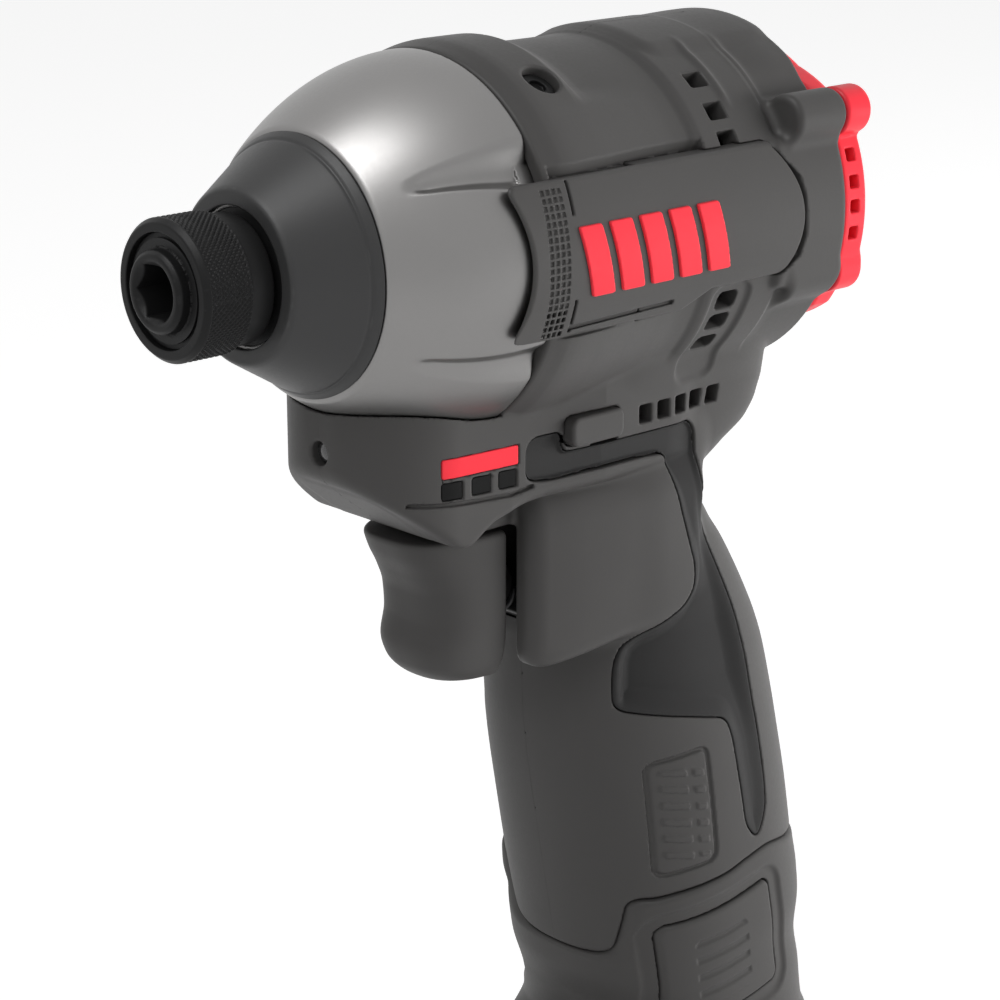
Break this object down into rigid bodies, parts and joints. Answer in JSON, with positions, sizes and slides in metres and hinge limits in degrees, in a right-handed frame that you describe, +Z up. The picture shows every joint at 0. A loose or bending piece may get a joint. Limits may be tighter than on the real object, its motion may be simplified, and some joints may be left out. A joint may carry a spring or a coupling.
{
  "type": "impact driver",
  "caption": "Compact pistol-grip cordless impact driver with knurled hex chuck, satin hammer case, trigger, direction selector and clip-in battery pack.",
  "frame": {"origin": "on the output axis, level with the front of the knurled sleeve; the socket's mouth is 1.3 mm in front", "axes": "+X out of the bit socket along the output axis, +Y to the tool's left, +Z up away from the table"},
  "size_m": [0.1165, 0.0532, 0.1721],
  "materials": {
    "body_plastic": "matte fine-grain moulding",
    "grip_rubber": "soft matte overmould",
    "case_metal": "satin die casting",
    "dark_rubber": "satin moulded bumper",
    "black_steel": "black oxide with knurl",
    "red_plastic": "semi-gloss moulding",
    "black_plastic": "satin",
    "steel": "ground or turned",
    "motor_steel": "stacked sheet",
    "copper": "enamelled wire",
    "bronze": "sintered",
    "board": "solder mask",
    "cell_wrap": "shrink sleeve",
    "lens": "clear"
  },
  "bodies": {
    "tool_body": {"left_housing": "body_plastic", "right_housing": "body_plastic", "hammer_case": "case_metal", "nose_bumper": "dark_rubber", "rear_cap": "red_plastic", "rear_cap_screws": "steel", "case_screws": "black_steel", "housing_screws": "steel", "left_side_panel": "body_plastic", "right_side_panel": "body_plastic", "left_grip": "grip_rubber", "right_grip": "grip_rubber", "led_lens": "lens", "led_board": "board", "gauge_windows": "black_plastic", "gauge_label": "red_plastic", "control_board": "board", "switch_body": "black_plastic", "terminal_block": "black_plastic", "stator_core": "motor_steel", "stator_windings": "copper", "motor_board": "board", "front_bearing": "steel", "rear_bearing": "steel", "ring_gear": "steel", "gearbox_plate": "case_metal", "spindle_bearing": "steel", "anvil_bush": "black_steel", "trigger_spring": "steel"},
    "spindle": {"cam_spindle": "steel", "planet_pins": "steel", "cam_balls": "steel", "hammer_spring": "steel"},
    "anvil_group": {"anvil": "black_steel", "sleeve_clip": "black_steel", "sleeve_washer": "black_steel", "sleeve_spring": "steel"},
    "rotor": {"rotor_core": "motor_steel", "rotor_magnets": "steel", "motor_shaft": "steel", "cooling_fan": "black_plastic"},
    "planet_1": {"planet_gear_1": "steel"},
    "planet_2": {"planet_gear_2": "steel"},
    "planet_3": {"planet_gear_3": "steel"},
    "hammer_seat": {"spring_washer": "steel"},
    "hammer_body": {"hammer": "steel"},
    "sleeve": {"chuck_sleeve": "black_steel"},
    "ball_up": {"upper_ball": "steel"},
    "ball_down": {"lower_ball": "steel"},
    "trigger_body": {"trigger": "body_plastic"},
    "selector": {"selector_slide": "body_plastic"},
    "battery": {"battery_tower": "black_plastic", "battery_base": "body_plastic", "battery_cells": "cell_wrap", "battery_contacts": "bronze", "battery_board": "board", "left_button_spring": "steel", "right_button_spring": "steel"},
    "button_left": {"left_button": "body_plastic"},
    "button_right": {"right_button": "body_plastic"}
  },
  "joints": [
    {"name": "spindle_spin", "type": "hinge", "parent": "tool_body", "child": "spindle", "pos_m": [-0.0585, 0, 0], "axis": [1, 0, 0], "continuous": true},
    {"name": "anvil_spin", "type": "hinge", "parent": "tool_body", "child": "anvil_group", "pos_m": [-0.018, 0, 0], "axis": [1, 0, 0], "continuous": true},
    {"name": "rotor_spin", "type": "hinge", "parent": "tool_body", "child": "rotor", "pos_m": [-0.085, 0, 0], "axis": [1, 0, 0], "continuous": true},
    {"name": "planet_1_spin", "type": "hinge", "parent": "spindle", "child": "planet_1", "pos_m": [-0.063, 0, -0.0096], "axis": [1, 0, 0], "continuous": true},
    {"name": "planet_2_spin", "type": "hinge", "parent": "spindle", "child": "planet_2", "pos_m": [-0.063, 0.00831, 0.0048], "axis": [1, 0, 0], "continuous": true},
    {"name": "planet_3_spin", "type": "hinge", "parent": "spindle", "child": "planet_3", "pos_m": [-0.063, -0.00831, 0.0048], "axis": [1, 0, 0], "continuous": true},
    {"name": "hammer_retract", "type": "slide", "parent": "spindle", "child": "hammer_seat", "axis": [-1, 0, 0], "range_m": [0, 0.008], "stiffness_N_per_m": 9000, "springref_m": -0.008, "deforming": ["hammer_spring"]},
    {"name": "hammer_turn", "type": "hinge", "parent": "hammer_seat", "child": "hammer_body", "pos_m": [-0.039, 0, 0], "axis": [1, 0, 0], "range_deg": [-45.01, 0]},
    {"name": "sleeve_slide", "type": "slide", "parent": "anvil_group", "child": "sleeve", "axis": [1, 0, 0], "range_m": [0, 0.0022], "stiffness_N_per_m": 1500, "springref_m": -0.003, "deforming": ["sleeve_spring"]},
    {"name": "upper_ball_lift", "type": "slide", "parent": "anvil_group", "child": "ball_up", "axis": [0, 0, 1], "range_m": [0, 0.00076]},
    {"name": "lower_ball_lift", "type": "slide", "parent": "anvil_group", "child": "ball_down", "axis": [0, 0, -1], "range_m": [0, 0.00076]},
    {"name": "trigger_press", "type": "slide", "parent": "tool_body", "child": "trigger_body", "axis": [-1, 0, 0], "range_m": [0, 0.006], "stiffness_N_per_m": 700, "springref_m": -0.006, "deforming": ["trigger_spring"]},
    {"name": "selector_push", "type": "slide", "parent": "tool_body", "child": "selector", "axis": [0, 1, 0], "range_m": [-0.003, 0.003]},
    {"name": "battery_slide", "type": "slide", "parent": "tool_body", "child": "battery", "axis": [-0.1839, 0, -0.9829], "range_m": [0, 0.04]},
    {"name": "left_button_press", "type": "hinge", "parent": "battery", "child": "button_left", "pos_m": [-0.0908, 0.0203, -0.111], "axis": [0, 0, -1], "range_deg": [0, 5], "stiffness_Nm_per_rad": 0.8, "springref_deg": -5.73, "deforming": ["left_button_spring"]},
    {"name": "right_button_press", "type": "hinge", "parent": "battery", "child": "button_right", "pos_m": [-0.0908, -0.0203, -0.111], "axis": [0, 0, 1], "range_deg": [0, 5], "stiffness_Nm_per_rad": 0.8, "springref_deg": -5.73, "deforming": ["right_button_spring"]}
  ],
  "couplings": [
    {"joint": "anvil_spin", "follows": "spindle_spin", "ratio": 1},
    {"joint": "rotor_spin", "follows": "spindle_spin", "ratio": 5.3333},
    {"joint": "planet_1_spin", "follows": "spindle_spin", "ratio": -2.6},
    {"joint": "planet_2_spin", "follows": "spindle_spin", "ratio": -2.6},
    {"joint": "planet_3_spin", "follows": "spindle_spin", "ratio": -2.6},
    {"joint": "hammer_turn", "follows": "hammer_retract", "rad_per_m": -98.175},
    {"joint": "upper_ball_lift", "follows": "sleeve_slide", "ratio": 0.341},
    {"joint": "lower_ball_lift", "follows": "sleeve_slide", "ratio": 0.341}
  ]
}
